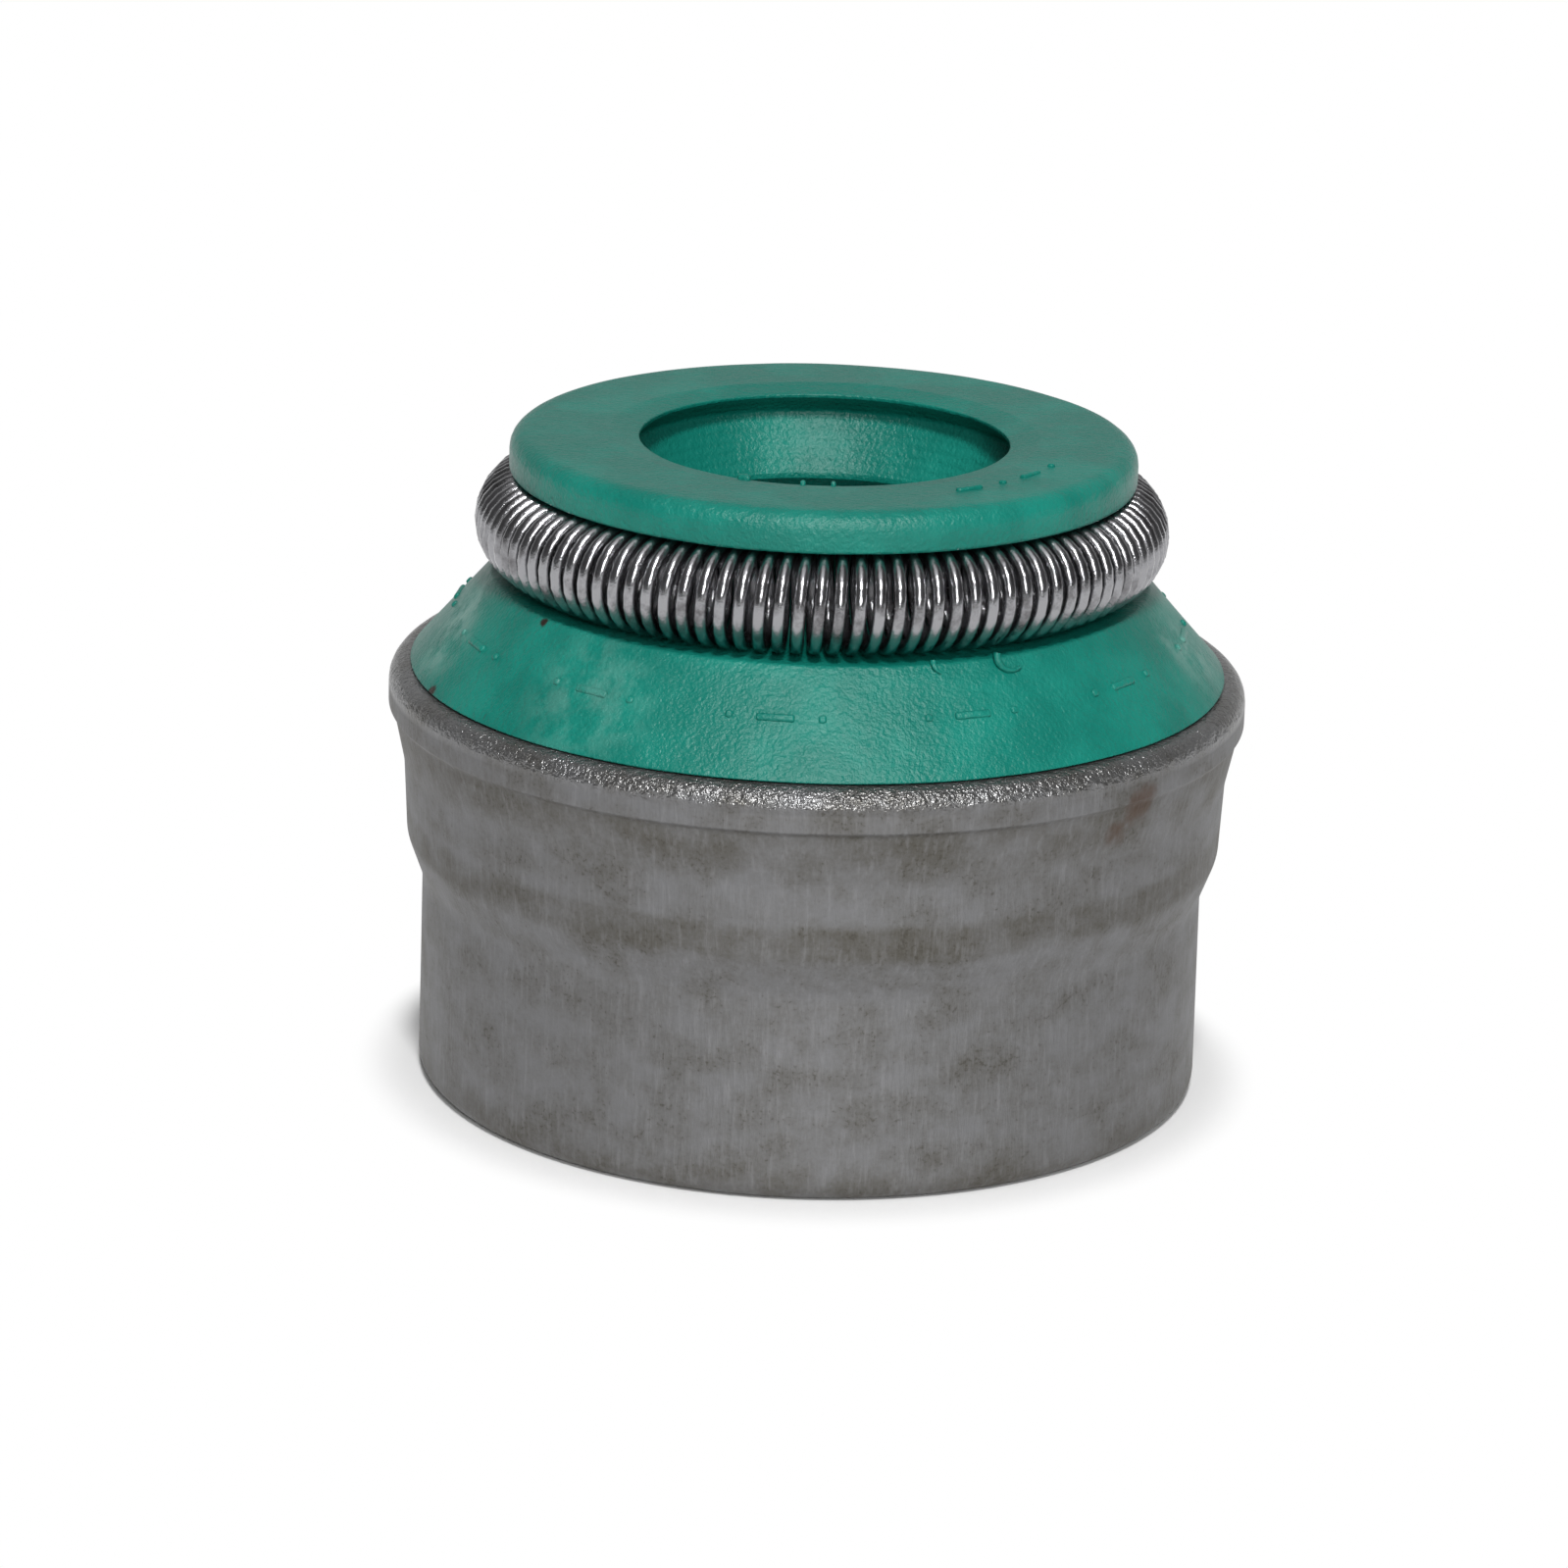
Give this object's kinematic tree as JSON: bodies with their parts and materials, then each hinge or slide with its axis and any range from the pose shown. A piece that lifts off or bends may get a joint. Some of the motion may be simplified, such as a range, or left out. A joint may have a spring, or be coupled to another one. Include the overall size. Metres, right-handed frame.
{
  "type": "valve stem seal",
  "caption": "Valve stem seal: a green rubber head with a wiping lip and a garter spring, bonded to a drawn steel case that presses onto a valve guide.",
  "frame": {"origin": "on the bore's axis, in the plane of the steel case's base ring", "axes": "+Z along the bore, from the valve guide's side to the mouth that the valve stem comes out of"},
  "size_m": [0.0144, 0.0144, 0.0111],
  "materials": {
    "case_steel": "dull bare steel with fine drawing marks and light storage stains",
    "green_rubber": "satin moulded fluoroelastomer",
    "spring_steel": "bright drawn spring wire"
  },
  "bodies": {
    "root": {"steel_case": "case_steel", "seal_body": "green_rubber", "garter_spring": "spring_steel"}
  },
  "joints": []
}
